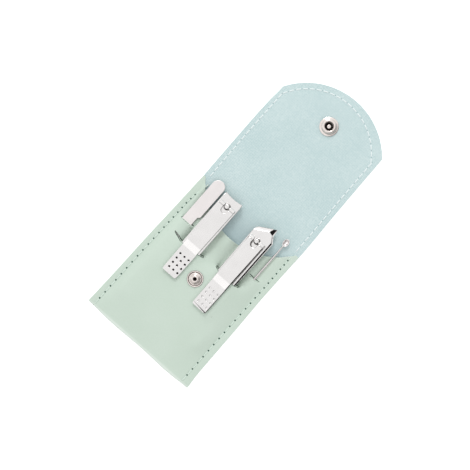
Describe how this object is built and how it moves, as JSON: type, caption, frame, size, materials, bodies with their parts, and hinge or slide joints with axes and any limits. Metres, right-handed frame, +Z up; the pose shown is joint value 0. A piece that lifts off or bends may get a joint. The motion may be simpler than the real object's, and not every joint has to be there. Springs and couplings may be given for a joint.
{
  "type": "manicure set case",
  "caption": "Open snap-flap pouch in mint leather with an aqua lining; nail clippers, a nail file and an ear pick are tucked through slits in its scooped pocket.",
  "frame": {"origin": "outer face of the back panel, in the middle of the line between the corners of the pocket's mouth", "axes": "+X across the case, +Y from the pocket to the open flap, +Z up out of the table it lies on"},
  "size_m": [0.079, 0.1973, 0.0119],
  "materials": {
    "mint_leather": "smooth grained",
    "aqua_lining": "matte",
    "seam_thread": "twisted thread",
    "snap_metal": "nickel plated",
    "polished_steel": "polished",
    "satin_steel": "satin"
  },
  "bodies": {
    "case": {"back_panel": "mint_leather", "back_lining": "aqua_lining", "front_panel": "mint_leather", "left_seam": "seam_thread", "right_seam": "seam_thread", "snap_stud": "snap_metal", "stud_eyelet": "snap_metal"},
    "spine": {"spine_panel": "mint_leather", "spine_lining": "aqua_lining", "spine_seam": "seam_thread"},
    "flap": {"flap_panel": "mint_leather", "flap_lining": "aqua_lining", "flap_seam": "seam_thread", "snap_cap": "snap_metal", "snap_socket": "snap_metal", "socket_spring": "snap_metal"},
    "finger_clipper": {"finger_lower_arm": "polished_steel", "finger_rivet": "polished_steel"},
    "finger_upper": {"finger_upper_arm": "polished_steel"},
    "finger_post": {"finger_pin": "polished_steel"},
    "finger_handle": {"finger_lever": "polished_steel"},
    "oblique_clipper": {"oblique_lower_arm": "polished_steel", "oblique_rivet": "polished_steel"},
    "oblique_upper": {"oblique_upper_arm": "polished_steel"},
    "oblique_post": {"oblique_pin": "polished_steel"},
    "oblique_handle": {"oblique_lever": "polished_steel"},
    "file": {"nail_file": "satin_steel"},
    "pick": {"ear_pick": "satin_steel"}
  },
  "joints": [
    {"name": "spine_fold", "type": "hinge", "parent": "case", "child": "spine", "pos_m": [0, 0.005, 0.00161], "axis": [-1, 0, 0], "range_deg": [-90, 0]},
    {"name": "flap_fold", "type": "hinge", "parent": "spine", "child": "flap", "pos_m": [0, 0.0162, 0.00161], "axis": [-1, 0, 0], "range_deg": [-91.5, 0]},
    {"name": "finger_slide", "type": "slide", "parent": "case", "child": "finger_clipper", "axis": [0, 1, 0], "range_m": [0, 0.025]},
    {"name": "finger_squeeze", "type": "hinge", "parent": "finger_clipper", "child": "finger_upper", "pos_m": [-0.0141, -0.054, 0.00398], "axis": [-1, 0, 0], "range_deg": [0, 1.4], "stiffness_Nm_per_rad": 0.5, "springref_deg": -1.15},
    {"name": "finger_swivel", "type": "hinge", "parent": "finger_clipper", "child": "finger_post", "pos_m": [-0.0141, -0.0054, 0.0028], "axis": [0, 0, -1], "range_deg": [0, 180]},
    {"name": "finger_lift", "type": "hinge", "parent": "finger_post", "child": "finger_handle", "pos_m": [-0.0141, -0.0054, 0.00886], "axis": [-1, 0, 0], "range_deg": [0, 155]},
    {"name": "oblique_slide", "type": "slide", "parent": "case", "child": "oblique_clipper", "axis": [0, 1, 0], "range_m": [0, 0.025]},
    {"name": "oblique_squeeze", "type": "hinge", "parent": "oblique_clipper", "child": "oblique_upper", "pos_m": [0.01354, -0.0578, 0.00497], "axis": [-0.9903, 0, -0.1392], "range_deg": [0, 1.4], "stiffness_Nm_per_rad": 0.5, "springref_deg": -1.15},
    {"name": "oblique_swivel", "type": "hinge", "parent": "oblique_clipper", "child": "oblique_post", "pos_m": [0.0137, -0.0092, 0.00381], "axis": [-0.1392, 0, 0.9903], "range_deg": [0, 180]},
    {"name": "oblique_lift", "type": "hinge", "parent": "oblique_post", "child": "oblique_handle", "pos_m": [0.01286, -0.0092, 0.00981], "axis": [-0.9903, 0, -0.1392], "range_deg": [0, 155]},
    {"name": "file_slide", "type": "slide", "parent": "case", "child": "file", "axis": [0, 1, 0], "range_m": [0, 0.06]},
    {"name": "pick_slide", "type": "slide", "parent": "case", "child": "pick", "axis": [0, 1, 0], "range_m": [0, 0.055]}
  ],
  "couplings": [
    {"joint": "finger_swivel", "follows": "finger_lift", "ratio": 1.16},
    {"joint": "oblique_swivel", "follows": "oblique_lift", "ratio": 1.16}
  ]
}
